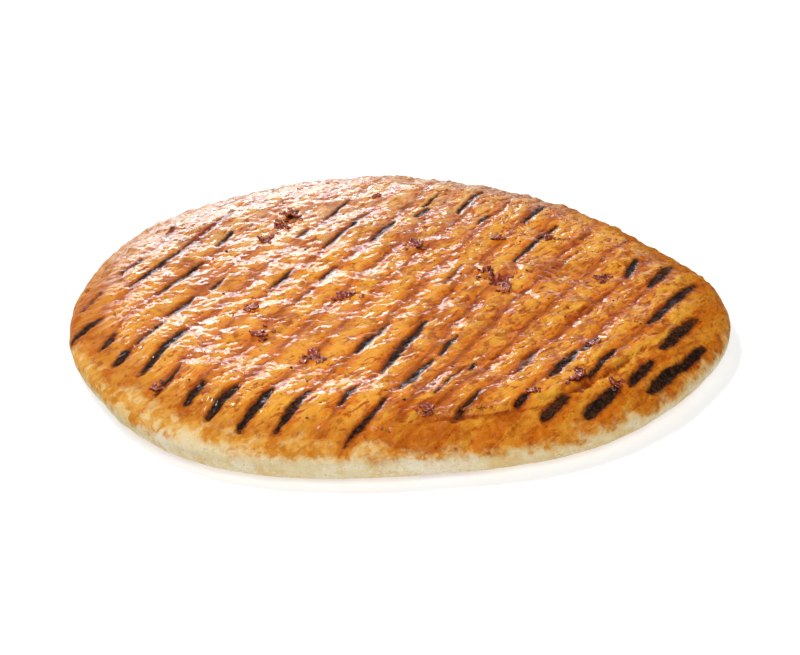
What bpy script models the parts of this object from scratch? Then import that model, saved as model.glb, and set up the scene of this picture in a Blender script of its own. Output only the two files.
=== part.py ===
"""A grilled pita bread: a nearly round, glazed flatbread with a puffed rim, marked by griddle bars.

Run it with blender --background --python part.py, or from Blender's text editor.
Metres, +Z up. The origin is on the face that the loaf rests on, under its middle.
"""

import math

import bmesh
import bpy
from mathutils import Matrix, Vector

# The outline seen from above: a mean radius, and waves of (cosine, sine) metres for that many lobes.
# The waves' own centre stands off the origin, so that the origin is under the middle of the loaf.
MEAN_RADIUS = 0.0992
OUTLINE_WAVES = {
    2: (0.0013, -0.0004),
    3: (0.0022, -0.0019),
    4: (0.0004, -0.0010),
    5: (0.0004, 0.0005),
    6: (0.0006, -0.0001),
    7: (0.0005, -0.0005),
    8: (0.0002, 0.0002),
}
WAVE_CENTRE = Vector((-0.0031, -0.0025, 0.0))

# The section from the middle to the edge. A share is a share of the outline's radius.
CREST_HEIGHT = 0.0145
CREST_SHARE = 0.72
DISH_DEPTH = 0.0004
WIDEST_HEIGHT = 0.0055
SHOULDER_POWER = 2.2
FOOT_SHARE = 0.93

# The rings of faces that the section is divided into.
SIDES = 96
TOP_RINGS = 9
SHOULDER_RINGS = 8
UNDER_RINGS = 4

# The griddle's bars, counted from the middle one. Past the last straight bar the loaf curled as it
# was pressed, so its furrows lie turned there.
BAR_PITCH = 0.010
BARS = range(-8, 9)
BAR_ANGLE = math.radians(65)
LAST_STRAIGHT_BAR = -3
FULLY_TURNED_BAR = -6
BAR_TURN = math.radians(-8.5)
BAR_RADIUS = 0.0025
BAR_SIDES = 18
BAR_OVERHANG = 0.004
FURROW_DEPTH = 0.0010

CRUST_COLOUR = (0.62, 0.27, 0.05, 1.0)
CRUST_ROUGHNESS = 0.38


def clear_scene():
    for obj in list(bpy.data.objects):
        bpy.data.objects.remove(obj, do_unlink=True)


def new_collection(name):
    made = bpy.data.collections.new(name)
    bpy.context.scene.collection.children.link(made)
    return made


def outline_radius(angle):
    """Distance from the middle to the widest line of the loaf, in that direction."""
    waves = (
        cosine * math.cos(lobes * angle) + sine * math.sin(lobes * angle)
        for lobes, (cosine, sine) in OUTLINE_WAVES.items()
    )
    return MEAN_RADIUS + sum(waves)


def section():
    """(share, height) pairs from the ring nearest the top's middle, out over the rim and in to the foot."""
    points = []
    for ring in range(1, TOP_RINGS + 1):
        share = CREST_SHARE * ring / TOP_RINGS
        inner = math.sin(math.pi * ring / TOP_RINGS)
        points.append((share, CREST_HEIGHT - DISH_DEPTH * inner))
    for ring in range(1, SHOULDER_RINGS + 1):
        turn = 0.5 * math.pi * ring / SHOULDER_RINGS
        out = math.sin(turn) ** (2 / SHOULDER_POWER)
        up = max(math.cos(turn), 0.0) ** (2 / SHOULDER_POWER)
        share = CREST_SHARE + (1 - CREST_SHARE) * out
        points.append((share, WIDEST_HEIGHT + (CREST_HEIGHT - WIDEST_HEIGHT) * up))
    for ring in range(1, UNDER_RINGS + 1):
        turn = 0.5 * math.pi * ring / UNDER_RINGS
        share = FOOT_SHARE + (1 - FOOT_SHARE) * math.cos(turn)
        points.append((share, WIDEST_HEIGHT * (1 - math.sin(turn))))
    return points


def make_loaf(collection):
    """The smooth loaf, shaped from a ball whose poles and rings are moved onto the section."""
    rings = [(0.0, CREST_HEIGHT), *section(), (0.0, 0.0)]
    steps = len(rings) - 1
    mesh = bpy.data.meshes.new("pita_bread")
    bm = bmesh.new()
    bmesh.ops.create_uvsphere(bm, u_segments=SIDES, v_segments=steps, radius=1.0)
    for vertex in bm.verts:
        latitude = math.acos(max(-1.0, min(1.0, vertex.co.z)))
        ring = round(latitude / math.pi * steps)
        share, height = rings[ring]
        angle = math.atan2(vertex.co.y, vertex.co.x)
        radius = share * outline_radius(angle)
        out = Vector((radius * math.cos(angle), radius * math.sin(angle), height))
        vertex.co = WAVE_CENTRE + out
    bm.to_mesh(mesh)
    bm.free()
    loaf = bpy.data.objects.new("pita_bread", mesh)
    collection.objects.link(loaf)
    return loaf


def bar_angle(bar):
    share = (LAST_STRAIGHT_BAR - bar) / (LAST_STRAIGHT_BAR - FULLY_TURNED_BAR)
    return BAR_ANGLE + BAR_TURN * min(max(share, 0.0), 1.0)


def make_bars(collection):
    """All the griddle's bars in one mesh, lying level and reaching a furrow's depth into the crest."""
    mesh = bpy.data.meshes.new("griddle_bars")
    bm = bmesh.new()
    across = Vector((-math.sin(BAR_ANGLE), math.cos(BAR_ANGLE), 0.0))
    height = CREST_HEIGHT - FURROW_DEPTH + BAR_RADIUS
    for bar in BARS:
        distance = bar * BAR_PITCH
        middle = WAVE_CENTRE + across * distance + Vector((0.0, 0.0, height))
        chord = 2.0 * math.sqrt(MEAN_RADIUS**2 - distance**2)
        lie_along = Matrix.Rotation(bar_angle(bar), 4, "Z") @ Matrix.Rotation(0.5 * math.pi, 4, "Y")
        bmesh.ops.create_cone(
            bm,
            cap_ends=True,
            segments=BAR_SIDES,
            radius1=BAR_RADIUS,
            radius2=BAR_RADIUS,
            depth=chord + BAR_OVERHANG,
            matrix=Matrix.Translation(middle) @ lie_along,
        )
    bm.to_mesh(mesh)
    bm.free()
    bars = bpy.data.objects.new("griddle_bars", mesh)
    bars.hide_render = True
    bars.display_type = "WIRE"
    collection.objects.link(bars)
    return bars


def press_furrows(loaf, bars):
    cut = loaf.modifiers.new("furrows", "BOOLEAN")
    cut.operation = "DIFFERENCE"
    cut.solver = "EXACT"
    cut.object = bars


def crust_material():
    material = bpy.data.materials.new("glazed_crust")
    material.use_nodes = True
    shader = material.node_tree.nodes["Principled BSDF"]
    shader.inputs["Base Color"].default_value = CRUST_COLOUR
    shader.inputs["Roughness"].default_value = CRUST_ROUGHNESS
    shader.inputs["Metallic"].default_value = 0.0
    return material


def main():
    clear_scene()
    part = new_collection("pita_bread")
    cutters = new_collection("cutters")
    loaf = make_loaf(part)
    loaf.data.materials.append(crust_material())
    loaf.data.shade_smooth()
    loaf.data.set_sharp_from_angle(angle=math.radians(30))
    press_furrows(loaf, make_bars(cutters))


main()
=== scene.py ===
"""A grilled pita bread on a plain pale floor, made from the library part's frame.

Run as a script in Blender. The panel in the 3D view's sidebar lists the pieces once it has run.
Sizes are in metres unless a name says otherwise. Along means along the griddle's bars, and across
means square to them, both measured from the outline's own centre.
"""

import math

import bpy
import numpy as np
from mathutils import Euler, Matrix, Vector, noise


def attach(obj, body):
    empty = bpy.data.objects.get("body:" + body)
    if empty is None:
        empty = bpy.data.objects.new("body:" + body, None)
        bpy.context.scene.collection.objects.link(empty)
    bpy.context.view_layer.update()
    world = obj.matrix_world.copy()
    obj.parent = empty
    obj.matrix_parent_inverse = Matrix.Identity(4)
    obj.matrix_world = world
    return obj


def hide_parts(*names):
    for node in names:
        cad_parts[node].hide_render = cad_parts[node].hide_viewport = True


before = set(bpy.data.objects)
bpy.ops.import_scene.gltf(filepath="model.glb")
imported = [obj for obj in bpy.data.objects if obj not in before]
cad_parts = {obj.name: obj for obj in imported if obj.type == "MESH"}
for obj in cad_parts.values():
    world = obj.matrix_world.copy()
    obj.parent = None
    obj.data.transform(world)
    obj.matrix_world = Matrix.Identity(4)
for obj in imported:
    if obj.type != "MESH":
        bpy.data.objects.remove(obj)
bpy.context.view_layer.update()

bl_info = {
    "name": "Grilled Pita Bread",
    "version": (1, 0, 0),
    "blender": (4, 5, 0),
    "location": "View3D > Sidebar > Pita",
    "description": "Makes a grilled pita bread with its crust flakes and crumbs",
    "category": "Add Mesh",
}

MM = 0.001

# The outline seen from above: (cosine, sine) millimetres for that many lobes round the loaf.
OUTLINE_WAVES = {
    2: (1.3, -0.4),
    3: (2.2, -1.9),
    4: (0.4, -1.0),
    5: (0.4, 0.5),
    6: (0.6, -0.1),
    7: (0.5, -0.5),
    8: (0.2, 0.2),
}
WAVE_CENTRE = Vector((-0.0031, -0.0025, 0.0))

# The griddle's bars, counted from the middle one. Past the last straight bar the loaf curled as it
# was pressed, so its furrows lie turned there.
BAR_ANGLE = math.radians(65)
BAR_PITCH = 10.0
BARS = range(-10, 9)
LAST_STRAIGHT_BAR = -3
FULLY_TURNED_BAR = -6
BAR_SLOPE = -0.15

# How the loaf's mesh is divided.
EDGE_POINTS = 1040
GRID_SHARE = 0.86
SHOULDER_RINGS = 15
UNDER_RINGS = 6
BASE_SHARES = (0.90, 0.60)
CREST_SHARE = 0.72
FOOT_SHARE = 0.93
SHOULDER_POWER = 2.2

# Each mark that the bars burnt, in millimetres: where it starts and ends along the bars, where it
# lies across them at its start and at its end, its width, how black it is and how red, from 0 to 1.
MARKS = [
    (33, 45, 79, 78, 2.0, 0.8, 0.1),
    (-53, -40, 80, 79, 2.0, 0.5, 0.1),
    (-31, -18, 79.5, 79.5, 1.8, 0.8, 0.0),
    (0, 10, 82, 84, 1.8, 0.5, 0.6),
    (51, 65, 75, 73, 2.0, 0.8, 0.2),
    (-67, -56, 73, 69, 3.4, 1.0, 0.0),
    (-38, -8, 71, 71, 1.8, 0.9, 0.1),
    (-8, 28, 71, 72, 2.2, 0.45, 0.7),
    (66, 77, 63, 62, 2.0, 0.7, 0.2),
    (-73, -64, 59, 59, 2.6, 0.7, 0.0),
    (-40, -12, 60, 60.5, 1.7, 0.75, 0.0),
    (0, 13, 62, 63.5, 1.9, 0.85, 0.0),
    (-79, -70, 50, 50, 3.0, 0.9, 0.1),
    (-70, -53, 48.5, 48.5, 1.6, 1.0, 0.0),
    (-50, -34, 50, 50, 1.8, 0.7, 0.3),
    (-28, -19, 48, 48, 1.8, 0.7, 0.2),
    (10, 14, 51, 51, 2.2, 0.4, 0.9),
    (21, 26, 52, 52, 2.4, 0.6, 0.9),
    (29, 38, 52, 52, 2.6, 0.6, 0.9),
    (-83, -54, 39, 40.5, 2.9, 1.0, 0.0),
    (17, 26, 42, 42, 1.2, 0.7, 0.0),
    (34, 53, 40.5, 40.5, 1.3, 0.6, 0.0),
    (-89, -75, 29.5, 29.5, 2.0, 0.7, 0.3),
    (-34, -31, 30, 30, 1.8, 0.6, 0.9),
    (-21, -5, 31, 31, 1.5, 0.6, 0.1),
    (14, 46, 30.5, 30, 1.8, 0.9, 0.0),
    (-91, -80, 19, 19, 3.2, 1.0, 0.0),
    (-28, -15, 19, 19, 1.2, 0.4, 0.3),
    (-9, 3, 20, 20, 1.6, 0.6, 0.3),
    (24, 43, 18.5, 18.5, 2.4, 0.7, 0.2),
    (50, 60, 14, 13, 2.4, 0.9, 0.1),
    (60, 71, 15, 14, 1.2, 0.7, 0.0),
    (86, 94, 26, 24, 2.0, 0.8, 0.1),
    (-94, -78, 10.5, 9.5, 3.5, 1.0, 0.0),
    (-95, -75, 0, 0, 3.4, 1.0, 0.0),
    (60, 81, 2.5, 1.5, 2.0, 0.8, 0.0),
    (-93, -72, -9.5, -9.5, 2.7, 0.8, 0.2),
    (-47, -35, -11, -11, 2.6, 0.9, 0.1),
    (-36, -26, -12, -12, 1.5, 0.5, 0.0),
    (53, 62, -8, -8, 2.0, 0.8, 0.1),
    (-76, -64, -20, -20, 2.2, 0.8, 0.1),
    (-54, -20, -22, -21.5, 3.0, 0.75, 0.35),
    (4, 20, -17, -16, 1.8, 0.5, 0.7),
    (60, 81, -21.5, -23, 2.6, 0.8, 0.2),
    (-89, -67, -28.5, -30.5, 2.0, 0.75, 0.2),
    (-61, -40, -31.5, -32, 3.0, 0.9, 0.1),
    (-38, -25, -33, -33.5, 2.2, 0.75, 0.2),
    (10, 20, -31, -32, 3.0, 0.45, 0.9),
    (30, 63, -29.5, -32, 2.0, 0.85, 0.0),
    (-60, -40, -41.5, -42, 1.4, 0.5, 0.4),
    (-43, -37, -44, -44, 2.0, 0.8, 0.2),
    (30, 42, -43, -45, 2.4, 0.35, 0.9),
    (54, 62, -44, -45, 2.2, 0.4, 0.8),
    (-68, -52, -50, -52, 1.7, 0.85, 0.1),
    (-39, -21, -57, -57, 2.2, 0.55, 0.2),
    (26, 34, -60, -60, 1.8, 0.5, 0.9),
    (-55, -48, -62.5, -64, 2.8, 0.85, 0.5),
    (-38, -19, -66.5, -68, 3.2, 0.75, 0.1),
    (-20, -13, -70, -70.5, 3.0, 0.8, 0.5),
    (34, 48, -66, -65, 3.0, 0.9, 0.1),
    (-56, -42, -71, -73.5, 4.0, 0.75, 0.2),
    (-38, -32, -72, -75, 2.6, 0.6, 0.8),
    (-33, -14, -76, -78, 2.4, 0.8, 0.2),
    (29, 51, -74.5, -76, 3.6, 0.7, 0.1),
    (-48, -31, -80.5, -84.5, 4.4, 1.0, 0.0),
    (-29, -12, -86.5, -88.5, 3.2, 0.9, 0.1),
    (4, 43, -81.5, -86, 3.3, 0.85, 0.1),
    (-6, 20, -89, -92.5, 4.2, 0.75, 0.1),
    (-27, -7, -92, -96, 4.0, 1.0, 0.0),
    (-11, 6, -96, -99, 3.2, 1.0, 0.2),
]

# Curled flakes of dark crust, each with smaller bits beside it: along, across and length in
# millimetres, and how far it is turned in degrees.
FLAKES = [
    (-48, 20, 6.0, 20),
    (-54, -1, 6.5, 75),
    (24, 52, 6.0, 10),
    (33, 52, 7.0, 160),
    (12, 51, 5.5, 100),
    (28, 4, 6.5, 40),
    (15, -30, 8.0, 120),
    (10, -34, 6.0, 60),
    (19, -25, 4.0, 20),
    (-16, 7, 6.0, 150),
    (-47, -65, 3.0, 30),
    (-35, -73, 7.0, 80),
    (-31, -83, 5.0, 10),
    (-13, -71, 4.5, 55),
    (30, -60, 5.5, 170),
    (-34, 30, 5.0, 45),
    (-86, 31, 3.5, 110),
    (-67, -42, 4.0, 20),
    (52, -34, 4.5, 140),
    (44, -18, 4.0, 70),
    (60, 33, 3.0, 15),
]


def tint(code):
    """A colour's linear values from the six digits that name it."""
    parts = [int(code[i : i + 2], 16) / 255 for i in (0, 2, 4)]
    return tuple(p / 12.92 if p <= 0.04045 else ((p + 0.055) / 1.055) ** 2.4 for p in parts)


def length_property(name, text, millimetres):
    return bpy.props.FloatProperty(
        name=name,
        description=text,
        default=millimetres * MM,
        min=0.0,
        precision=5,
        subtype="DISTANCE",
        unit="LENGTH",
    )


def colour_property(name, text, code):
    return bpy.props.FloatVectorProperty(
        name=name,
        description=text,
        subtype="COLOR",
        size=3,
        min=0.0,
        max=1.0,
        default=tint(code),
    )


class PitaLoafSettings(bpy.types.PropertyGroup):
    mean_radius: length_property("Mean radius", "Middle to widest line, on average", 99.2)
    crest_height: length_property("Height", "Top of the loaf above its base", 14.5)
    widest_height: length_property("Widest height", "Height of the widest line", 5.5)
    dish: length_property("Dish", "How far the ring inside the rim dips", 1.0)
    swell: length_property("Rim swell", "How far the rim puffs up over the dish", 0.6)
    furrow: length_property("Furrow depth", "How deep the bars pressed", 0.22)
    pillow: length_property("Pillow height", "Rise of the crust between two bars", 0.3)
    scorch: length_property("Mark depth", "How far each burnt mark is sunk", 0.45)
    wrinkle: length_property("Wrinkle height", "Height of the fine wrinkles", 0.8)
    blister: length_property("Blister height", "Height of the blistered crust", 0.9)
    golden: colour_property("Golden crust", "Lightest glazed crust", "F0A232")
    amber: colour_property("Amber crust", "Most of the glazed crust", "E07A18")
    russet: colour_property("Russet crust", "Well baked patches", "B4520E")
    cream: colour_property("Cream rim", "Pale unglazed dough", "E6D3A6")
    char: colour_property("Char", "Burnt marks", "1C100C")


class PitaCrumbSettings(bpy.types.PropertyGroup):
    flake_thickness: length_property("Flake thickness", "Thickness of a curled flake", 0.5)
    flake_colour: colour_property("Flake colour", "Dark red crust", "983410")
    crumb_size: length_property("Crumb size", "Middle size of a charred crumb", 0.9)
    crumb_count: bpy.props.IntProperty(
        name="Crumbs", description="Number of charred crumbs", default=70, min=0, max=400
    )
    seed: bpy.props.IntProperty(name="Seed", description="Where the crumbs fall", default=11)


class PitaStageSettings(bpy.types.PropertyGroup):
    floor_colour: colour_property("Floor", "Plain pale floor", "B4B4B4")
    lens: bpy.props.FloatProperty(name="Lens", description="In millimetres", default=72.0)
    camera_rise: bpy.props.FloatProperty(
        name="Camera rise",
        description="Angle of the camera above the floor",
        default=math.radians(27),
        subtype="ANGLE",
    )
    camera_distance: length_property("Camera distance", "From the loaf's middle", 505.3)


# Shader nodes.


class Wire:
    """A node's output socket. An expression on wires adds its Math nodes to the material."""

    def __init__(self, socket):
        self.socket = socket

    def maths(self, operation, first, second):
        node = self.socket.id_data.nodes.new("ShaderNodeMath")
        node.operation = operation
        for place, value in zip(node.inputs, (first, second)):
            if isinstance(value, Wire):
                self.socket.id_data.links.new(value.socket, place)
            else:
                place.default_value = value
        return Wire(node.outputs[0])

    def __add__(self, other):
        return self.maths("ADD", self, other)

    def __radd__(self, other):
        return self.maths("ADD", other, self)

    def __sub__(self, other):
        return self.maths("SUBTRACT", self, other)

    def __rsub__(self, other):
        return self.maths("SUBTRACT", other, self)

    def __mul__(self, other):
        return self.maths("MULTIPLY", self, other)

    def __rmul__(self, other):
        return self.maths("MULTIPLY", other, self)


class Finish:
    """A node material under construction, on the piece's own object coordinates."""

    def __init__(self, name):
        self.material = bpy.data.materials.new(name)
        self.material.use_nodes = True
        self.tree = self.material.node_tree
        self.tree.nodes.clear()
        self.place = self.node("ShaderNodeTexCoord", out="Object")

    def node(self, kind, settings=None, sockets=None, out=0):
        made = self.tree.nodes.new(kind)
        for name, value in (settings or {}).items():
            setattr(made, name, value)
        for name, value in (sockets or {}).items():
            socket = made.inputs[name]
            if isinstance(value, Wire):
                self.tree.links.new(value.socket, socket)
            elif hasattr(value, "__len__") and len(value) == 3 and socket.type == "RGBA":
                socket.default_value = (*value, 1.0)
            else:
                socket.default_value = value
        return Wire(made.outputs[out])

    def attribute(self, name):
        return self.node("ShaderNodeAttribute", {"attribute_name": name}, out="Fac")

    def height(self):
        return self.node("ShaderNodeSeparateXYZ", sockets={"Vector": self.place}, out="Z")

    def turned(self, angle, stretch):
        """Object coordinates with X laid along a direction and drawn out along it."""
        turned = self.node(
            "ShaderNodeMapping",
            sockets={"Vector": self.place, "Rotation": (0.0, 0.0, -angle)},
        )
        return self.node(
            "ShaderNodeMapping",
            sockets={"Vector": turned, "Scale": (1.0 / stretch, 1.0, 1.0)},
        )

    def noise(self, size, detail=3.0, rough=0.5, warp=0.0, at=None):
        """Noise whose lumps are about this many millimetres across, from 0 to 1."""
        return self.node(
            "ShaderNodeTexNoise",
            sockets={
                "Vector": at or self.place,
                "Scale": 1.0 / (size * MM),
                "Detail": detail,
                "Roughness": rough,
                "Distortion": warp,
            },
            out=0,
        )

    def ramp(self, value, low, high):
        """0 below low, 1 above high and a smooth rise between. Low may be the greater."""
        return self.node(
            "ShaderNodeMapRange",
            {"interpolation_type": "SMOOTHSTEP"},
            {"Value": value, "From Min": low, "From Max": high},
        )

    def blend(self, under, over, amount, way="MIX"):
        made = self.tree.nodes.new("ShaderNodeMix")
        made.data_type = "RGBA"
        made.blend_type = way
        for socket, value in ((0, amount), (6, under), (7, over)):
            if isinstance(value, Wire):
                self.tree.links.new(value.socket, made.inputs[socket])
            elif socket == 0:
                made.inputs[0].default_value = value
            else:
                made.inputs[socket].default_value = (*value[:3], 1.0)
        return Wire(made.outputs[2])

    def bump(self, height, distance, strength=1.0, under=None):
        sockets = {"Height": height, "Distance": distance * MM, "Strength": strength}
        if under:
            sockets["Normal"] = under
        return self.node("ShaderNodeBump", sockets=sockets)

    def surface(self, sockets):
        shader = self.node("ShaderNodeBsdfPrincipled", sockets=sockets)
        output = self.tree.nodes.new("ShaderNodeOutputMaterial")
        self.tree.links.new(shader.socket, output.inputs["Surface"])
        return self.material


# Making pieces.


def deselect_all():
    if bpy.context.mode != "OBJECT":
        bpy.ops.object.mode_set(mode="OBJECT")
    bpy.ops.object.select_all(action="DESELECT")


def apply_modifiers(piece):
    bpy.context.view_layer.objects.active = piece
    for modifier in list(piece.modifiers):
        bpy.ops.object.modifier_apply(modifier=modifier.name)


def take_points(piece):
    points = np.empty(len(piece.data.vertices) * 3)
    piece.data.vertices.foreach_get("co", points)
    return points.reshape(-1, 3)


def put_points(piece, points):
    piece.data.vertices.foreach_set("co", points.reshape(-1))
    piece.data.update()


def store(piece, name, values):
    made = piece.data.attributes.new(name, "FLOAT", "POINT")
    made.data.foreach_set("value", np.asarray(values, dtype=np.float32))


def group(piece, name, weights, steps=64):
    """A vertex group that holds these weights, rounded so that equal ones are added together."""
    made = piece.vertex_groups.new(name=name)
    rounded = np.rint(np.clip(weights, 0.0, 1.0) * steps).astype(int)
    for step in range(1, steps + 1):
        found = np.flatnonzero(rounded == step)
        if len(found):
            made.add(found.tolist(), step / steps, "REPLACE")


def push(piece, name, strength, weights, texture=None, frame_object=None, along="NORMAL"):
    """A Displace modifier under a vertex group of its own. With a texture, mid-grey stays put."""
    group(piece, name, weights)
    modifier = piece.modifiers.new(name, "DISPLACE")
    modifier.vertex_group = name
    modifier.strength = strength
    modifier.direction = along
    modifier.mid_level = 0.5 if texture else 0.0
    if texture:
        modifier.texture = texture
        modifier.texture_coords = "OBJECT" if frame_object else "LOCAL"
        modifier.texture_coords_object = frame_object


def grain_direction(name, degrees, stretch):
    """An empty that draws a texture out along a direction. It is removed once the texture is applied."""
    deselect_all()
    bpy.ops.object.empty_add(rotation=(0.0, 0.0, math.radians(degrees)))
    guide = bpy.context.object
    guide.name = name
    guide.scale = (stretch, 1.0, 1.0)
    bpy.context.view_layer.update()
    return guide


def clouds(name, size, depth=2, hard=False):
    made = bpy.data.textures.new(name, "CLOUDS")
    made.noise_scale = size * MM
    made.noise_depth = depth
    made.noise_type = "HARD_NOISE" if hard else "SOFT_NOISE"
    return made


def smooth(value, low, high):
    share = np.clip((value - low) / (high - low), 0.0, 1.0)
    return share * share * (3.0 - 2.0 * share)


def lumps(points, size, seed):
    """Smooth noise from 0 to 1 at points in millimetres."""
    shift = Vector((seed * 17.3, seed * 5.1, seed * 9.7))
    return np.array([0.5 + 0.5 * noise.noise(Vector(p) / size + shift) for p in points])


# The loaf's shape.


def outline(angle):
    """How far the outline stands from the wave centre in a direction, as a share of the mean radius."""
    mean = bpy.context.scene.pita_loaf.mean_radius / MM
    waves = sum(
        cosine * np.cos(lobes * angle) + sine * np.sin(lobes * angle)
        for lobes, (cosine, sine) in OUTLINE_WAVES.items()
    )
    return 1.0 + waves / mean


def shoulder_height(share, settings):
    """Height of the outer surface from the crest out to the widest line."""
    out = np.clip((share - CREST_SHARE) / (1.0 - CREST_SHARE), 0.0, 1.0)
    drop = (1.0 - out**SHOULDER_POWER) ** (1.0 / SHOULDER_POWER)
    return settings.widest_height + (settings.crest_height - settings.widest_height) * drop


def ring_steps(settings):
    """(share, height) of each ring from the grid's edge over the shoulder and down to the foot."""
    start = (GRID_SHARE - CREST_SHARE) / (1.0 - CREST_SHARE)
    first = math.asin(start ** (SHOULDER_POWER / 2.0))
    steps = []
    for ring in range(1, SHOULDER_RINGS + 1):
        turn = first + (0.5 * math.pi - first) * ring / SHOULDER_RINGS
        share = CREST_SHARE + (1.0 - CREST_SHARE) * math.sin(turn) ** (2.0 / SHOULDER_POWER)
        steps.append((share, float(shoulder_height(share, settings))))
    for ring in range(1, UNDER_RINGS + 1):
        turn = 0.5 * math.pi * ring / UNDER_RINGS
        share = FOOT_SHARE + (1.0 - FOOT_SHARE) * math.cos(turn)
        steps.append((share, settings.widest_height * (1.0 - math.sin(turn))))
    return steps


def select_open_edges():
    bpy.ops.mesh.select_all(action="DESELECT")
    bpy.ops.mesh.select_mode(type="EDGE")
    bpy.ops.mesh.select_non_manifold(
        extend=False,
        use_wire=False,
        use_boundary=True,
        use_multi_face=False,
        use_non_contiguous=False,
        use_verts=False,
    )


def round_blank(settings):
    """A round loaf of the mean radius: a fine disc, rings drawn down from its edge, and a flat base."""
    deselect_all()
    bpy.ops.mesh.primitive_circle_add(
        vertices=EDGE_POINTS,
        radius=settings.mean_radius * GRID_SHARE,
        location=(WAVE_CENTRE.x, WAVE_CENTRE.y, settings.crest_height),
    )
    loaf = bpy.context.object
    bpy.ops.object.transform_apply(location=True, rotation=True, scale=True)
    bpy.ops.object.mode_set(mode="EDIT")
    bpy.ops.mesh.select_all(action="SELECT")
    bpy.ops.mesh.fill_grid(span=EDGE_POINTS // 4)
    select_open_edges()
    share, height = GRID_SHARE, settings.crest_height
    for next_share, next_height in ring_steps(settings):
        ratio = next_share / share
        bpy.ops.mesh.extrude_edges_move(
            TRANSFORM_OT_translate={"value": (0.0, 0.0, next_height - height)}
        )
        bpy.ops.transform.resize(
            value=(ratio, ratio, 1.0), center_override=(WAVE_CENTRE.x, WAVE_CENTRE.y, 0.0)
        )
        share, height = next_share, next_height
    for next_share in BASE_SHARES:
        ratio = next_share / share
        bpy.ops.mesh.extrude_edges_move(TRANSFORM_OT_translate={"value": (0.0, 0.0, 0.0)})
        bpy.ops.transform.resize(
            value=(ratio, ratio, 1.0), center_override=(WAVE_CENTRE.x, WAVE_CENTRE.y, 0.0)
        )
        share = next_share
    bpy.ops.mesh.edge_face_add()
    bpy.ops.mesh.poke()
    bpy.ops.mesh.select_all(action="SELECT")
    bpy.ops.mesh.normals_make_consistent(inside=False)
    bpy.ops.object.mode_set(mode="OBJECT")
    return loaf


def relief(piece, passes):
    """How far each point stands above the mean of its neighbourhood, in its own standard deviations."""
    mesh = piece.data
    ends = np.empty(len(mesh.edges) * 2, dtype=np.int32)
    mesh.edges.foreach_get("vertices", ends)
    first, second = ends.reshape(-1, 2).T
    height = take_points(piece)[:, 2]
    count = np.bincount(ends, minlength=len(height))
    mean = height
    for _ in range(passes):
        around = np.bincount(first, mean[second], len(height))
        around += np.bincount(second, mean[first], len(height))
        mean = 0.5 * mean + 0.5 * around / count
    rise = height - mean
    return rise / rise.std()


def bar_lines(along):
    """Where each bar's line lies across the loaf, at these places along it, in millimetres."""
    for bar in BARS:
        turned = (LAST_STRAIGHT_BAR - bar) / (LAST_STRAIGHT_BAR - FULLY_TURNED_BAR)
        turned = min(max(turned, 0.0), 1.0)
        yield bar * BAR_PITCH + turned * (3.0 + BAR_SLOPE * (along + 25.0))


def nearest_bar(along, across):
    """Distance in millimetres to the nearest bar's line."""
    return np.min([abs(across - line) for line in bar_lines(along)], axis=0)


def burn(along, across, wobble):
    """(edge, black, red): millimetres inside the nearest mark's edge, and how black and red it is."""
    edge = np.full(len(along), -9.0)
    black = np.zeros(len(along))
    red = np.zeros(len(along))
    for start, end, first, last, width, blackness, redness in MARKS:
        share = np.clip((along - start) / (end - start), 0.0, 1.0)
        centre = first + (last - first) * share + 0.5 * wobble
        half = 0.46 * width * (0.15 + 0.85 * np.sin(math.pi * (0.04 + 0.92 * share)) ** 0.6)
        past = np.maximum(np.maximum(start + half - along, along - end + half), 0.0)
        inside = half - np.hypot(across - centre, past)
        nearer = inside > edge
        edge[nearer] = inside[nearer]
        black[nearer] = blackness
        red[nearer] = redness
    return edge, black, red


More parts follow.
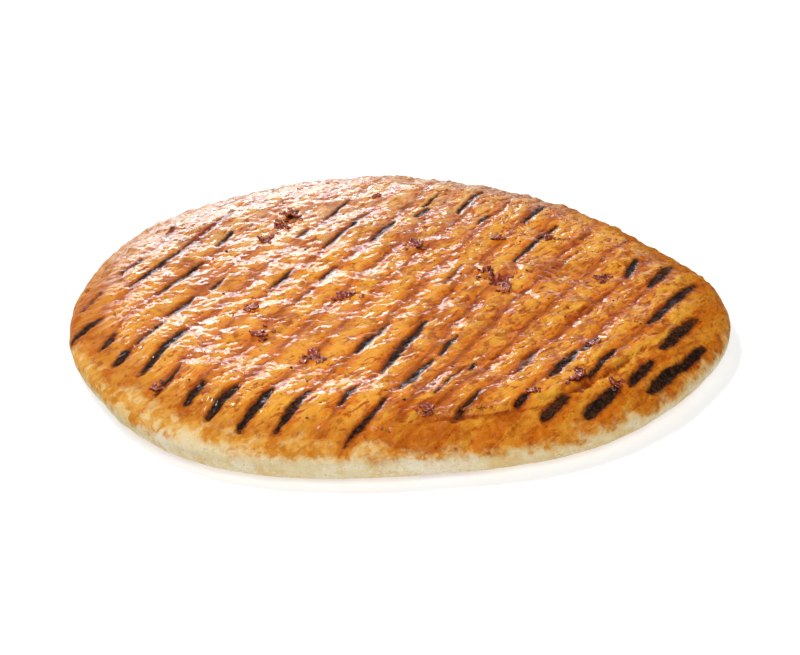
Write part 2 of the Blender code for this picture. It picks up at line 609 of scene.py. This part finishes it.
class OBJECT_OT_pita_loaf(bpy.types.Operator):
    """Make the loaf with its rim, furrows, pillows, wrinkles and burnt marks"""

    bl_idname = "object.pita_loaf"
    bl_label = "Loaf"

    def execute(self, context):
        settings = context.scene.pita_loaf
        loaf = round_blank(settings)
        loaf.name = loaf.data.name = "pita_loaf"
        points = take_points(loaf)
        flat = points[:, :2] - np.array(WAVE_CENTRE[:2])
        angle = np.arctan2(flat[:, 1], flat[:, 0])
        share = np.hypot(flat[:, 0], flat[:, 1]) / settings.mean_radius
        flat *= outline(angle)[:, None]
        points[:, :2] = flat + np.array(WAVE_CENTRE[:2])
        on_grid = points[:, 2] > settings.crest_height - 1e-6
        points[on_grid, 2] = shoulder_height(share[on_grid], settings)
        put_points(loaf, points)

        x, y = flat[:, 0] / MM, flat[:, 1] / MM
        along = x * math.cos(BAR_ANGLE) + y * math.sin(BAR_ANGLE)
        across = y * math.cos(BAR_ANGLE) - x * math.sin(BAR_ANGLE)
        spots = np.column_stack([x, y, points[:, 2] / MM])
        broad = lumps(spots, 22.0, 1)
        patchy = lumps(spots, 9.0, 2)
        wobble = 2.0 * lumps(spots, 7.0, 3) - 1.0
        distance = nearest_bar(along, across + 3.0 * (lumps(spots, 15.0, 6) - 0.5))
        edge, black, red = burn(along, across, wobble)
        top = smooth(points[:, 2] / MM, 7.0, 11.5)
        level = smooth(share, 0.97, 0.80) * top
        pressed = lumps(spots, 12.0, 8)
        sides = smooth(abs(across + 0.3 * along + 5.0) / 90.0 + broad, 0.45, 1.0)
        clear = level * (0.2 + 0.8 * sides) * smooth(pressed, 0.2, 0.6)
        clear *= 1.0 - 0.45 * smooth(across, 8.0, 45.0)

        front = smooth(-y, -30.0, 45.0)
        dish = top * np.exp(-(((share - 0.59) / 0.10) ** 2)) * (0.35 + 0.65 * front)
        swell = top * np.exp(-(((share - 0.77) / 0.08) ** 2)) * (0.4 + 0.9 * patchy) * (0.5 + 0.5 * front)
        push(loaf, "dish", -settings.dish, dish, along="Z")
        push(loaf, "swell", settings.swell, swell, along="Z")
        left_back = smooth(0.8 * y - x, 45.0, 95.0)
        pillows = clear * (1.0 - 0.6 * left_back) * np.sin(math.pi * distance / BAR_PITCH) ** 2
        push(loaf, "pillows", settings.pillow, pillows)
        push(loaf, "furrows", -settings.furrow, clear * np.exp(-((distance / 1.7) ** 2)))
        sunk = top * smooth(edge, -0.9, 0.5) * (0.5 + 0.5 * black)
        push(loaf, "marks", -settings.scorch, sunk)

        calm = smooth(y, 35.0, 72.0) * smooth(-x, -45.0, 10.0)
        fine = top * (0.35 + 0.65 * smooth(lumps(spots, 14.0, 4), 0.3, 0.7)) * (1.0 - 0.6 * calm)
        flow = grain_direction("flow", 28, 2.3)
        drag = grain_direction("drag", 50, 2.6)
        streak = grain_direction("streak", 60, 4.0)
        middle_left = np.exp(-(((x + 38.0) / 42.0) ** 2) - ((y + 18.0) / 30.0) ** 2)
        push(loaf, "flow", -settings.wrinkle, fine * middle_left, clouds("flow", 2.3, 2, True), flow)
        dragged = fine * (1.0 - 0.7 * middle_left) * (1.0 - 0.8 * left_back)
        push(loaf, "drag", -settings.wrinkle, dragged, clouds("drag", 2.3, 2, True), drag)
        streaked = fine * left_back * (1.0 - 0.7 * middle_left)
        push(loaf, "streaks", -settings.wrinkle, streaked, clouds("streaks", 1.8, 2, True), streak)
        push(loaf, "crinkles", -0.6 * settings.wrinkle, fine, clouds("crinkles", 1.5, 1, True))
        blistered = level * smooth(patchy, 0.5, 0.85)
        push(loaf, "blisters", settings.blister, blistered, clouds("blisters", 3.2, 2, True))
        folded = smooth(angle, -1.75, -1.35) * smooth(angle, -0.45, -0.75)
        fold_line = 0.875 - 0.03 * smooth(angle, -1.2, -0.7) + 0.03 * (patchy - 0.5)
        push(loaf, "fold", -1.1 * MM, top * folded * np.exp(-(((share - fold_line) / 0.012) ** 2)))
        lip = top * folded * np.exp(-(((share - fold_line + 0.026) / 0.014) ** 2))
        push(loaf, "fold_lip", 0.5 * MM, lip)
        push(loaf, "lumps", 0.5 * MM, level * (1.0 - 0.5 * calm), clouds("lumps", 6.0, 2))
        push(loaf, "sag", 1.1 * MM, top, clouds("sag", 26.0, 1))
        rim = smooth(points[:, 2] / MM, 0.5, 3.0)
        push(loaf, "rim_wobble", 1.3 * MM, rim, clouds("rim_wobble", 11.0, 2))
        edge_lumps = smooth(share, 0.80, 0.93) * top
        push(loaf, "edge_lumps", 1.5 * MM, edge_lumps, clouds("edge_lumps", 4.0, 1, True))
        apply_modifiers(loaf)
        for guide in (flow, drag, streak):
            bpy.data.objects.remove(guide, do_unlink=True)
        loaf.vertex_groups.clear()

        # The glaze ran far down the left, and stops higher up at the front.
        uneven = 2.4 * (lumps(spots, 13.0, 5) - 0.5)
        front_left = np.exp(6.0 * (np.cos(angle + math.radians(150)) - 1.0))
        front_only = np.exp(5.5 * (np.cos(angle + math.radians(112)) - 1.0))
        far_left = np.exp(4.0 * (np.cos(angle - math.radians(178)) - 1.0))
        right_front = np.exp(5.0 * (np.cos(angle + math.radians(30)) - 1.0))
        glaze_line = 4.9 + 3.6 * front_only + 1.2 * right_front - 3.0 * far_left + uneven
        store(loaf, "glaze_line", glaze_line)
        store(loaf, "toast_line", glaze_line + 1.8 + 3.6 * front_left)
        # The "baked" mask is painted shade: it darkens the crust towards the back and the left, with a
        # random broad tone mixed in.
        back_left = smooth(y - 0.55 * x, 20.0, 80.0)
        baked = 0.75 * back_left + 0.45 * smooth(-x, 35.0, 85.0) + 0.5 * (broad - 0.5)
        store(loaf, "baked", np.clip(baked, 0.0, 1.0) * top)
        store(loaf, "middle_left", middle_left)
        store(loaf, "left_back", left_back)
        # Where a pale sheen is painted into the crust's colour, at the back.
        store(loaf, "glare", smooth(y - 0.35 * x, 20.0, 75.0) * top)
        store(loaf, "calm", calm)
        store(loaf, "relief", relief(loaf, 14) * level)
        store(loaf, "swelling", relief(loaf, 100) * level)
        store(loaf, "share", share)
        store(loaf, "furrow", distance)
        store(loaf, "char_edge", edge)
        store(loaf, "char_black", black)
        store(loaf, "char_red", red)
        loaf.data.shade_smooth()
        loaf.data.materials.clear()
        loaf.data.materials.append(crust_finish(settings))
        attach(loaf, "root")
        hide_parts("pita_bread")
        return {"FINISHED"}


def crust_finish(settings):
    """Glazed, baked crust with burnt marks, running down into a pale dry rim and a toasted base."""
    make = Finish("glazed_crust")
    height = make.height()
    share = make.attribute("share")
    furrow = make.attribute("furrow")
    edge = make.attribute("char_edge")
    black = make.attribute("char_black")
    red = make.attribute("char_red")

    broad = make.noise(24.0, 2.0)
    middle = make.noise(7.0, 4.0, 0.55, 0.6)
    fine = make.noise(1.6, 3.0, 0.6)
    tiny = make.noise(0.8, 2.0, 0.6)
    steep = make.noise(1.9, 4.0, 0.6, 0.5, make.turned(math.radians(50), 2.6))
    flat = make.noise(1.7, 4.0, 0.6, 0.5, make.turned(math.radians(27), 2.2))
    streaks = make.noise(1.5, 4.0, 0.6, 0.4, make.turned(math.radians(60), 4.0))
    grain = steep + (streaks - steep) * make.attribute("left_back")
    grain = grain + (flat - grain) * make.attribute("middle_left")
    relief = make.attribute("relief")
    swelling = make.attribute("swelling")

    golden, amber, russet = settings.golden, settings.amber, settings.russet
    crest = make.ramp(furrow, 1.2, 4.2)
    patches = make.noise(4.2, 2.0, 0.5, 0.2)
    light = patches * 0.35 + middle * 0.2 + grain * 0.25 + crest * 0.16
    # Painted light: points that stand above their neighbourhood are painted a little lighter.
    light = light + relief * 0.02 + swelling * 0.04
    colour = make.blend(amber, golden, make.ramp(light, 0.38, 0.58))
    blush = make.ramp(broad * 0.3 + middle * 0.35 + patches * 0.35, 0.49, 0.60)
    colour = make.blend(colour, russet, blush * 0.8)
    # Painted highlight in bright gold on the grain's raised streaks, stronger on the pillows' crests, and
    # painted shade in dark orange in the grain's hollows; the same grain drives the bump.
    lit_grain = make.ramp(grain + swelling * 0.02, 0.55, 0.66)
    colour = make.blend(colour, tint("F8B840"), lit_grain * (0.4 + crest * 0.4))
    colour = make.blend(colour, tint("A8420C"), make.ramp(grain, 0.46, 0.37) * 0.75)
    # Painted shade in the broad hollows of the crust.
    colour = make.blend(colour, tint("A8440C"), make.ramp(swelling, -0.2, -1.8) * 0.75)
    line = make.ramp(furrow + middle * 3.0, 2.9, 1.5) * make.ramp(share, 0.96, 0.85)
    colour = make.blend(colour, tint("94420C"), line * 0.7)
    # Painted shade in the hollows of the wrinkles and the grain.
    crease_shade = make.ramp(relief + (grain - 0.5) * 4.0, -0.2, -1.8)
    colour = make.blend(colour, tint("8C340A"), crease_shade * 0.8)
    # Painted shade: the "baked" mask darkens the back and the left, with a random broad tone.
    baked = make.attribute("baked")
    colour = make.blend(colour, tint("D2C6B0"), baked * 0.4, "MULTIPLY")
    # Painted shade: the crust darkens over the shoulder all round the rim.
    colour = make.blend(colour, tint("B05C08"), make.ramp(share, 0.82, 0.93) * 0.5)
    # Painted sheen: pale streaks along the grain, strongest at the back, stand in for the glaze's
    # reflection there.
    glare = make.attribute("glare")
    painted_sheen_streaks = make.ramp(grain + relief * 0.03, 0.42, 0.60)
    colour = make.blend(colour, tint("EFD2B0"), glare * (painted_sheen_streaks * 0.36 + 0.06))
    specks = make.ramp(fine, 0.63, 0.70)
    colour = make.blend(colour, tint("6E1E08"), specks * 0.6)

    # The glaze thins out over the shoulder, and the dry dough below it is pale.
    bare = height * 1000.0 - make.attribute("glaze_line") + (middle - 0.5) * 6.0 + (fine - 0.5) * 4.0
    above = height * 1000.0 - make.attribute("toast_line") + (middle - 0.5) * 8.0 + (fine - 0.5) * 3.0
    glazed = make.ramp(bare, -1.2, 1.4)
    toasted = make.ramp(above, -1.6, 1.6)
    pale = make.blend(settings.cream, tint("DDBB7C"), make.ramp(middle, 0.42, 0.66) * 0.8)
    pale = make.blend(pale, tint("F2EAD6"), make.ramp(broad * 0.5 + fine * 0.5, 0.46, 0.58) * 0.6)
    pale = make.blend(pale, tint("C08A42"), make.ramp(fine, 0.60, 0.70) * 0.55)
    shoulder = make.blend(tint("E2A246"), tint("CC842A"), make.ramp(fine * 0.5 + middle * 0.5, 0.43, 0.56))
    pale_patch = make.ramp(fine * 0.35 + patches * 0.65, 0.49, 0.58)
    shoulder = make.blend(shoulder, tint("EFD294"), pale_patch * 0.75)
    colour = make.blend(shoulder, colour, toasted)
    colour = make.blend(pale, colour, glazed)

    # The base is toasted in patches where it lay on the griddle.
    under = make.ramp(height, 0.0012, 0.0004)
    toast = make.blend(tint("DDB877"), tint("A8662B"), make.ramp(broad * 0.5 + middle * 0.5, 0.46, 0.62))
    toast = make.blend(toast, tint("4A2410"), make.ramp(middle, 0.66, 0.76) * 0.8)
    colour = make.blend(colour, toast, under)

    # Burnt marks: a brown edge that runs into black, broken by the grain.
    ragged = edge + (fine - 0.5) * 1.6 + (grain - 0.5) * 2.0
    on_top = make.ramp(height, 0.006, 0.008)
    singed = make.ramp(ragged, -1.1, 0.2) * on_top
    broken = make.ramp(fine * 0.5 + grain * 0.5 + black * 0.5, 0.64, 0.86)
    burnt = make.ramp(ragged, -0.2, 0.45) * broken * on_top
    brown = make.blend(tint("72330E"), tint("96260F"), red)
    colour = make.blend(colour, brown, singed * (black * 0.4 + 0.45))
    ash = make.ramp(fine * 0.6 + tiny * 0.4, 0.47, 0.60) * (1.5 - black)
    char = make.blend(settings.char, tint("5C341A"), ash)
    colour = make.blend(colour, char, burnt)

    dry = (1.0 - make.ramp(middle, 0.58, 0.70) * 0.5) * (1.0 - burnt * 0.6)
    broken_glaze = make.ramp(tiny * 0.3 + fine * 0.4 + grain * 0.3, 0.46, 0.56) * 0.7 + 0.3
    wet = make.ramp(above, 0.0, 3.5) * make.ramp(share - glare * 0.07, 0.93, 0.82) * dry * broken_glaze
    rough = 0.75 - make.ramp(above, -1.0, 3.0) * 0.25 + (fine - 0.5) * 0.16 + burnt * 0.12
    steady = 1.0 - make.attribute("calm") * 0.6
    bump = make.bump(grain * steady, 0.9, 1.0)
    bump = make.bump(fine * steady, 0.22, 0.9, bump)
    bump = make.bump(tiny, 0.05, 0.7, bump)
    return make.surface(
        {
            "Base Color": colour,
            "Roughness": rough,
            "Normal": bump,
            "Coat Weight": wet,
            "Coat Roughness": 0.1,
            "Coat IOR": 1.45,
            "Specular IOR Level": 0.08,
        }
    )


# Loose flakes and crumbs.


def frame_place(along, across):
    """Metres in the part's frame for millimetres along and across the bars."""
    x = along * math.cos(BAR_ANGLE) - across * math.sin(BAR_ANGLE)
    y = along * math.sin(BAR_ANGLE) + across * math.cos(BAR_ANGLE)
    return WAVE_CENTRE.x + x * MM, WAVE_CENTRE.y + y * MM


def on_the_loaf(x, y):
    """A place on the loaf's top, with the direction that the crust faces there."""
    loaf = bpy.data.objects["pita_loaf"]
    found, place, facing, _ = loaf.ray_cast(Vector((x, y, 0.1)), Vector((0.0, 0.0, -1.0)))
    if not found:
        raise RuntimeError("a crumb would fall beside the loaf")
    return place, facing


def join(pieces, name):
    deselect_all()
    for piece in pieces:
        piece.select_set(True)
    bpy.context.view_layer.objects.active = pieces[0]
    bpy.ops.object.join()
    joined = bpy.context.object
    joined.name = joined.data.name = name
    return joined


class OBJECT_OT_pita_flakes(bpy.types.Operator):
    """Make the curled flakes of dark red crust that lie on the glaze"""

    bl_idname = "object.pita_flakes"
    bl_label = "Flakes"

    def execute(self, context):
        settings = context.scene.pita_crumbs
        flakes = [self.flake(n, *spot, settings) for n, spot in enumerate(FLAKES)]
        joined = join(flakes, "crust_flakes")
        joined.data.shade_smooth()
        joined.data.materials.append(flake_finish(settings))
        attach(joined, "root")
        return {"FINISHED"}

    def flake(self, number, along, across, length, turn, settings):
        """One curled flake, crumpled and broken at its edge, with smaller bits beside it."""
        dice = np.random.default_rng(100 + number)
        bits = [(0.0, 0.0, length)]
        for _ in range(4):
            way = dice.uniform(0.0, 2.0 * math.pi)
            away = length * dice.uniform(0.35, 0.75)
            bits.append((away * math.cos(way), away * math.sin(way), length * dice.uniform(0.2, 0.45)))
        middle_x, middle_y = frame_place(along, across)
        made = []
        for bit, (x, y, size) in enumerate(bits):
            place, facing = on_the_loaf(middle_x + x * MM, middle_y + y * MM)
            facing = facing + Vector((dice.uniform(-0.4, 0.4), dice.uniform(-0.4, 0.4), 0.0))
            lie = facing.normalized().to_track_quat("Z", "Y").to_matrix().to_4x4()
            spin = Matrix.Rotation(math.radians(turn + 67 * bit), 4, "Z")
            made.append(self.bit(number * 7 + bit, size, Matrix.Translation(place) @ lie @ spin, settings))
        return join(made, "flake")

    def bit(self, seed, size, lie, settings):
        deselect_all()
        steps = 13 if size > 3.0 else 7
        bpy.ops.mesh.primitive_grid_add(x_subdivisions=steps, y_subdivisions=steps, size=1.0)
        flake = context_object()
        points = take_points(flake)
        x, y = points[:, 0] * 2.0, points[:, 1] * 2.0
        flat = np.column_stack([x, y, x * 0 + seed])
        jag = lumps(flat, 0.45, seed + 1)
        crumple = lumps(flat, 0.28, seed + 2) - 0.5
        reach = 0.4 + 1.2 * jag
        points[:, 0] = x * reach * np.sqrt(1.0 - 0.5 * y * y) * size * 0.42 * MM
        points[:, 1] = y * reach * np.sqrt(1.0 - 0.5 * x * x) * size * 0.34 * MM
        points[:, 2] = (0.15 + (0.3 * (jag - 0.5) + 0.22 * crumple) * size) * MM
        put_points(flake, points)
        flake.data.transform(lie)
        thick = flake.modifiers.new("thickness", "SOLIDIFY")
        thick.thickness = settings.flake_thickness
        thick.offset = 0.0
        apply_modifiers(flake)
        return flake


def context_object():
    return bpy.context.view_layer.objects.active


def flake_finish(settings):
    make = Finish("dark_red_crust")
    patch = make.noise(1.2, 3.0)
    colour = make.blend(settings.flake_colour, tint("3E100A"), make.ramp(patch, 0.50, 0.60))
    # Painted highlight: lighter orange patches on the flakes.
    colour = make.blend(colour, tint("C8602A"), make.ramp(make.noise(1.8, 2.0), 0.53, 0.62) * 0.8)
    return make.surface(
        {
            "Base Color": colour,
            "Roughness": 0.34 + make.noise(0.8) * 0.2,
            "Coat Weight": make.ramp(patch, 0.7, 0.4),
            "Coat Roughness": 0.1,
            "Normal": make.bump(make.noise(0.7, 3.0), 0.12, 0.8),
        }
    )


class OBJECT_OT_pita_crumbs(bpy.types.Operator):
    """Make the charred crumbs that are scattered over the crust"""

    bl_idname = "object.pita_crumbs"
    bl_label = "Crumbs"

    def execute(self, context):
        settings = context.scene.pita_crumbs
        dice = np.random.default_rng(settings.seed)
        crumbs = []
        for number in range(settings.crumb_count):
            angle = dice.uniform(0.0, 2.0 * math.pi)
            reach = 0.9 * math.sqrt(dice.uniform(0.02, 1.0)) * context.scene.pita_loaf.mean_radius
            x = WAVE_CENTRE.x + reach * math.cos(angle)
            y = WAVE_CENTRE.y + reach * math.sin(angle)
            size = settings.crumb_size * dice.uniform(0.45, 1.25)
            crumbs.append(self.crumb(number, x, y, size, dice))
        joined = join(crumbs, "charred_crumbs")
        joined.data.shade_smooth()
        joined.data.materials.append(crumb_finish())
        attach(joined, "root")
        return {"FINISHED"}

    def crumb(self, number, x, y, size, dice):
        place, facing = on_the_loaf(x, y)
        deselect_all()
        bpy.ops.mesh.primitive_ico_sphere_add(subdivisions=2, radius=0.5)
        crumb = context_object()
        points = take_points(crumb)
        jag = lumps(points, 0.35, number + 3)
        points *= (0.7 + 0.7 * jag)[:, None] * np.array([1.0, dice.uniform(0.5, 0.9), 0.5])
        put_points(crumb, points * size)
        turn = Euler((dice.uniform(-0.5, 0.5), dice.uniform(-0.5, 0.5), dice.uniform(0.0, 6.28)))
        lie = Matrix.Translation(place + facing * size * 0.12) @ turn.to_matrix().to_4x4()
        crumb.data.transform(lie)
        return crumb


def crumb_finish():
    make = Finish("charred_crumb")
    colour = make.blend(tint("241008"), tint("7A3A18"), make.ramp(make.noise(9.0, 1.0), 0.5, 0.62))
    return make.surface(
        {
            "Base Color": colour,
            "Roughness": 0.45,
            "Normal": make.bump(make.noise(0.5, 3.0), 0.08, 0.8),
        }
    )


# The stage.


def softbox(name, azimuth, rise, distance, width, height, watts, colour=(1.0, 1.0, 1.0)):
    """A soft light that faces the loaf. Azimuth 0 is to the right and 90 degrees is behind."""
    data = bpy.data.lights.new(name, "AREA")
    data.shape = "RECTANGLE"
    data.size = width
    data.size_y = height
    data.energy = watts
    data.color = colour
    light = bpy.data.objects.new(name, data)
    bpy.context.scene.collection.objects.link(light)
    a, e = math.radians(azimuth), math.radians(rise)
    away = Vector((math.cos(a) * math.cos(e), math.sin(a) * math.cos(e), math.sin(e)))
    light.location = away * distance
    light.rotation_mode = "QUATERNION"
    light.rotation_quaternion = away.to_track_quat("Z", "Y")
    return light


class OBJECT_OT_pita_stage(bpy.types.Operator):
    """Make the floor, the soft lights and the camera"""

    bl_idname = "object.pita_stage"
    bl_label = "Stage"

    def execute(self, context):
        settings = context.scene.pita_stage
        deselect_all()
        bpy.ops.mesh.primitive_plane_add(size=12.0, location=(0.0, 0.0, -0.0004))
        floor = context.object
        floor.name = floor.data.name = "floor"
        bpy.ops.object.transform_apply(location=True, rotation=True, scale=True)
        make = Finish("pale_floor")
        floor.data.materials.append(
            make.surface(
                {
                    "Base Color": settings.floor_colour,
                    "Roughness": 0.9,
                    "Emission Color": (1.0, 1.0, 1.0),
                    "Emission Strength": 0.62,
                }
            )
        )
        softbox("key", 112, 8, 1.1, 0.8, 0.24, 2.3, (0.88, 0.93, 1.0))
        softbox("high_key", 113, 19, 1.1, 0.66, 0.18, 1.15, (0.88, 0.93, 1.0))
        softbox("back_sheen", 98, 19, 1.1, 0.4, 0.12, 1.2, (0.86, 0.92, 1.0))
        softbox("side_sheen", 74, 15, 1.1, 0.3, 0.16, 0.25, (0.88, 0.93, 1.0))
        softbox("front_fill", -85, 48, 1.2, 0.7, 0.5, 8.1)
        softbox("overhead", 150, 62, 1.3, 0.22, 0.22, 11.0)

        world = bpy.data.worlds.new("studio")
        world.use_nodes = True
        world.node_tree.nodes["Background"].inputs["Color"].default_value = (1.0, 1.0, 1.0, 1.0)
        world.node_tree.nodes["Background"].inputs["Strength"].default_value = 0.05
        context.scene.world = world
        context.scene.view_settings.view_transform = "Standard"
        self.camera(context, settings)
        return {"FINISHED"}

    def camera(self, context, settings):
        data = bpy.data.cameras.new("camera")
        data.lens = settings.lens
        data.sensor_width = 36.0
        data.sensor_fit = "HORIZONTAL"
        data.shift_x = 0.0126
        data.shift_y = -0.0064
        data.clip_start = 0.01
        data.clip_end = 50.0
        camera = bpy.data.objects.new("camera", data)
        context.scene.collection.objects.link(camera)
        rise = settings.camera_rise
        back = Vector((0.0, -math.cos(rise), math.sin(rise)))
        camera.location = WAVE_CENTRE + back * settings.camera_distance
        camera.rotation_euler = (0.5 * math.pi - rise, 0.0, 0.0)
        context.scene.camera = camera


class VIEW3D_PT_pita(bpy.types.Panel):
    """Lists the pieces and their sizes and colours"""

    bl_idname = "VIEW3D_PT_pita"
    bl_label = "Grilled pita bread"
    bl_space_type = "VIEW_3D"
    bl_region_type = "UI"
    bl_category = "Pita"

    def draw(self, context):
        for title, settings, operators in (
            ("Loaf", context.scene.pita_loaf, [OBJECT_OT_pita_loaf]),
            ("Crumbs", context.scene.pita_crumbs, [OBJECT_OT_pita_flakes, OBJECT_OT_pita_crumbs]),
            ("Stage", context.scene.pita_stage, [OBJECT_OT_pita_stage]),
        ):
            box = self.layout.box()
            box.label(text=title)
            for name in type(settings).__annotations__:
                box.prop(settings, name)
            for operator in operators:
                box.operator(operator.bl_idname)


CLASSES = (
    PitaLoafSettings,
    PitaCrumbSettings,
    PitaStageSettings,
    OBJECT_OT_pita_loaf,
    OBJECT_OT_pita_flakes,
    OBJECT_OT_pita_crumbs,
    OBJECT_OT_pita_stage,
    VIEW3D_PT_pita,
)


def register():
    for made in CLASSES:
        bpy.utils.register_class(made)
    bpy.types.Scene.pita_loaf = bpy.props.PointerProperty(type=PitaLoafSettings)
    bpy.types.Scene.pita_crumbs = bpy.props.PointerProperty(type=PitaCrumbSettings)
    bpy.types.Scene.pita_stage = bpy.props.PointerProperty(type=PitaStageSettings)


def unregister():
    del bpy.types.Scene.pita_stage
    del bpy.types.Scene.pita_crumbs
    del bpy.types.Scene.pita_loaf
    for made in reversed(CLASSES):
        bpy.utils.unregister_class(made)


def main():
    register()
    bpy.ops.object.pita_loaf()
    bpy.ops.object.pita_flakes()
    bpy.ops.object.pita_crumbs()
    bpy.ops.object.pita_stage()


if __name__ == "__main__":
    main()
